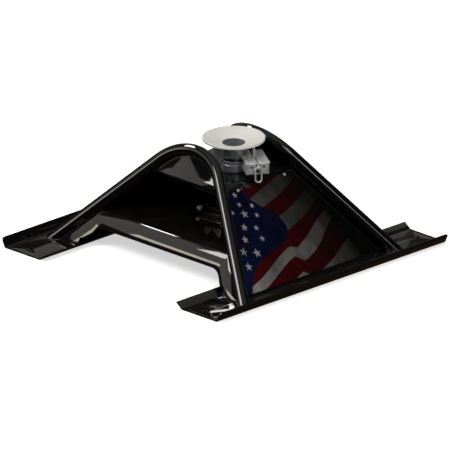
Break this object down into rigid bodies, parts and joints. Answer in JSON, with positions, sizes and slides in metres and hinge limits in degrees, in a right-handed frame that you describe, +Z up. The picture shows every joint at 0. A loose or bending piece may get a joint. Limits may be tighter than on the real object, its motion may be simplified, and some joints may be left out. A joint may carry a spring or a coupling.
{
  "type": "fifth wheel hitch",
  "caption": "Pyramid fifth wheel hitch: bent tube hoops on bed rails, sloping panels and deck, round kingpin coupler with guide funnel and a sprung sliding latch with pull ring",
  "frame": {"origin": "on the bed plane under the middle of the hitch", "axes": "+X along the two bed rails, -Y towards the tailgate and the graphic panel, +Z up"},
  "size_m": [1.143, 1.096, 0.4215],
  "materials": {
    "rear_rail": "gloss black powder coat",
    "front_rail": "gloss black powder coat",
    "left_hoop": "gloss black powder coat",
    "right_hoop": "gloss black powder coat",
    "rear_panel": "gloss black powder coat",
    "front_panel": "gloss black powder coat",
    "deck_plate": "gloss black powder coat",
    "cross_tray": "gloss black powder coat",
    "centre_post": "gloss black powder coat",
    "post_base_plate": "gloss black powder coat",
    "right_deck_rib": "gloss black powder coat",
    "left_deck_rib": "gloss black powder coat",
    "right_post_web": "gloss black powder coat",
    "left_post_web": "gloss black powder coat",
    "left_arch_plate": "gloss black powder coat",
    "right_arch_plate": "gloss black powder coat",
    "graphic_film": "printed vinyl film with stripes and stars",
    "deck_edge_bolts": "bright zinc",
    "deck_edge_nuts": "zinc plated",
    "ball_socket": "black painted casting",
    "clamp_screws": "zinc plated",
    "clamp_screw_locknuts": "zinc plated",
    "socket_bolts": "zinc plated",
    "socket_nuts": "zinc plated",
    "coupler_base": "turned steel with clear zinc plate",
    "coupler_neck": "turned steel with clear zinc plate",
    "coupler_screws": "zinc plated",
    "seat_liner": "bronze wear bush",
    "guide_funnel": "off-white powder coat",
    "grease_fitting": "plain brass",
    "inner_latch_bracket": "zinc plated",
    "outer_latch_bracket": "zinc plated",
    "inner_guide_bar": "zinc plated",
    "outer_guide_bar": "zinc plated",
    "latch_housing_floor": "zinc plated",
    "bracket_rivets": "zinc plated",
    "latch_plate": "hardened steel",
    "inner_latch_rod": "ground steel",
    "outer_latch_rod": "ground steel",
    "inner_latch_spring": "spring steel",
    "outer_latch_spring": "spring steel",
    "pull_bar": "off-white coat",
    "pull_ring": "bright zinc wire"
  },
  "bodies": {
    "frame": {"rear_rail": "rear_rail", "front_rail": "front_rail", "left_hoop": "left_hoop", "right_hoop": "right_hoop", "rear_panel": "rear_panel", "front_panel": "front_panel", "deck_plate": "deck_plate", "cross_tray": "cross_tray", "centre_post": "centre_post", "post_base_plate": "post_base_plate", "right_deck_rib": "right_deck_rib", "left_deck_rib": "left_deck_rib", "right_post_web": "right_post_web", "left_post_web": "left_post_web", "left_arch_plate": "left_arch_plate", "right_arch_plate": "right_arch_plate", "graphic_film": "graphic_film", "deck_edge_bolts": "deck_edge_bolts", "deck_edge_nuts": "deck_edge_nuts", "ball_socket": "ball_socket", "clamp_screws": "clamp_screws", "clamp_screw_locknuts": "clamp_screw_locknuts", "socket_bolts": "socket_bolts", "socket_nuts": "socket_nuts", "coupler_base": "coupler_base", "coupler_neck": "coupler_neck", "coupler_screws": "coupler_screws", "seat_liner": "seat_liner", "guide_funnel": "guide_funnel", "grease_fitting": "grease_fitting", "inner_latch_bracket": "inner_latch_bracket", "outer_latch_bracket": "outer_latch_bracket", "inner_guide_bar": "inner_guide_bar", "outer_guide_bar": "outer_guide_bar", "latch_housing_floor": "latch_housing_floor", "bracket_rivets": "bracket_rivets", "inner_latch_spring": "inner_latch_spring", "outer_latch_spring": "outer_latch_spring"},
    "latch": {"latch_plate": "latch_plate", "inner_latch_rod": "inner_latch_rod", "outer_latch_rod": "outer_latch_rod", "pull_bar": "pull_bar"},
    "ring": {"pull_ring": "pull_ring"}
  },
  "joints": [
    {"name": "latch_slide", "type": "slide", "parent": "frame", "child": "latch", "axis": [-0.5446, -0.8387, 0], "range_m": [0, 0.034], "stiffness_N_per_m": 900, "springref_m": -0.02, "deforming": ["inner_latch_spring", "outer_latch_spring"]},
    {"name": "ring_swing", "type": "hinge", "parent": "latch", "child": "ring", "pos_m": [-0.02647, -0.19443, 0.352], "axis": [-0.8387, 0.5446, 0], "range_deg": [0, 100]}
  ]
}
